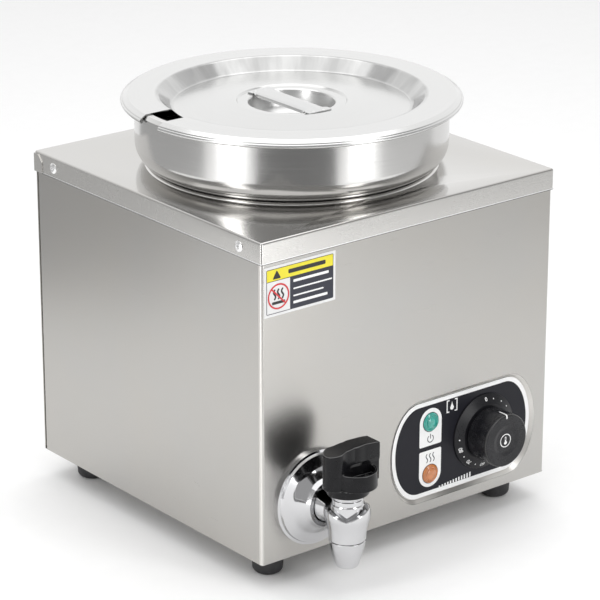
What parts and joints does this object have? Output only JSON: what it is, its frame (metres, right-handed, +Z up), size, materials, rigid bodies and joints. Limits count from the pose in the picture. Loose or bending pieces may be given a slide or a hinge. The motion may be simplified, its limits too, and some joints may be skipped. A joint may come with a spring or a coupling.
{
  "type": "nacho cheese dispenser",
  "caption": "Countertop water-bath cheese warmer: square steel casing, round lift-out pot, notched lid with a strap handle, thermostat panel and a drain tap with a turning handle.",
  "frame": {"origin": "on the floor under the feet, at the middle of the whole object's length and width, tap and gland included", "axes": "+Z up, +Y towards the back of the casing, +X to the right as seen from the front, where the tap and the control panel are"},
  "size_m": [0.2726, 0.3436, 0.311],
  "materials": {
    "casing_steel": "satin stainless sheet with soft reflections",
    "cover_steel": "bright brushed stainless sheet",
    "pot_steel": "polished outside, satin inside",
    "lid_steel": "fine satin pressing",
    "tank_steel": "deep-drawn stainless",
    "zinc_steel": "zinc-plated fixings",
    "rivet_aluminium": "plain blind rivets",
    "element_sheath": "heat-tinted heater sheath",
    "tap_chrome": "polished chrome plate",
    "handle_black": "semi-gloss moulding",
    "knob_black": "fine matt texture",
    "dial_black": "satin black with a white scale",
    "panel_print": "charcoal print with a white border",
    "lens_green": "clear coloured lens",
    "lens_orange": "clear coloured lens",
    "lamp_plastic": "black moulding",
    "foot_rubber": "moulded rubber",
    "seal_rubber": "moulded rubber seals",
    "silicone_hose": "translucent silicone hose",
    "brass_fitting": "machined brass",
    "copper_line": "copper capillary and bulb",
    "gland_plastic": "black nylon",
    "terminal_plastic": "natural nylon strip",
    "wire_insulation": "heat-proof sleeve",
    "cutout_ceramic": "ceramic case",
    "sticker_print": "printed adhesive film"
  },
  "bodies": {
    "casing": {"casing_shell": "casing_steel", "back_panel": "casing_steel", "base_plate": "casing_steel", "back_panel_screws": "zinc_steel", "base_screws": "zinc_steel", "foot_front_left": "foot_rubber", "foot_front_right": "foot_rubber", "foot_back_left": "foot_rubber", "foot_back_right": "foot_rubber", "foot_screws": "zinc_steel", "foot_nuts": "zinc_steel", "top_cover": "cover_steel", "cover_rivets": "rivet_aluminium", "water_tank": "tank_steel", "tank_studs": "zinc_steel", "tank_nuts": "zinc_steel", "heating_element": "element_sheath", "element_gaskets": "seal_rubber", "element_nuts": "brass_fitting", "element_terminals": "zinc_steel", "thermal_cutout": "cutout_ceramic", "thermostat_bracket": "zinc_steel", "thermostat_body": "terminal_plastic", "thermostat_screws": "zinc_steel", "dial_ring": "dial_black", "control_label": "panel_print", "power_lamp_lens": "lens_green", "power_lamp_body": "lamp_plastic", "heating_lamp_lens": "lens_orange", "heating_lamp_body": "lamp_plastic", "capillary_tube": "copper_line", "sensing_bulb": "copper_line", "tap_escutcheon": "tap_chrome", "tap_body": "tap_chrome", "tap_nozzle": "tap_chrome", "tap_bonnet": "tap_chrome", "tap_washer": "seal_rubber", "tap_lock_nut": "brass_fitting", "drain_elbow": "brass_fitting", "drain_hose": "silicone_hose", "hose_clamps": "zinc_steel", "gland_body": "gland_plastic", "gland_cap": "gland_plastic", "gland_seal": "seal_rubber", "gland_nut": "gland_plastic", "terminal_block": "terminal_plastic", "earth_stud": "zinc_steel", "internal_wires": "wire_insulation", "info_label": "sticker_print"},
    "pot": {"pot": "pot_steel"},
    "lid": {"lid": "lid_steel", "lid_handle": "lid_steel"},
    "knob": {"control_knob": "knob_black", "thermostat_shaft": "zinc_steel"},
    "tap_handle": {"tap_handle": "handle_black", "handle_grub_screw": "zinc_steel"},
    "valve_stem": {"valve_stem": "brass_fitting", "seat_washer": "seal_rubber"}
  },
  "joints": [
    {"name": "pot_lift", "type": "slide", "parent": "casing", "child": "pot", "axis": [0, 0, 1], "range_m": [0, 0.16]},
    {"name": "lid_lift", "type": "slide", "parent": "pot", "child": "lid", "axis": [0, 0, 1], "range_m": [0, 0.06]},
    {"name": "knob_turn", "type": "hinge", "parent": "casing", "child": "knob", "pos_m": [0.0737, -0.13, 0.0683], "axis": [0, 1, 0], "range_deg": [0, 270]},
    {"name": "handle_turn", "type": "hinge", "parent": "casing", "child": "tap_handle", "pos_m": [-0.0874, -0.1517, 0.09], "axis": [0, 0, -1], "range_deg": [0, 90]},
    {"name": "stem_lift", "type": "slide", "parent": "casing", "child": "valve_stem", "axis": [0, 0, 1], "range_m": [0, 0.004]}
  ],
  "couplings": [
    {"joint": "stem_lift", "follows": "handle_turn", "m_per_rad": 0.0025464}
  ]
}
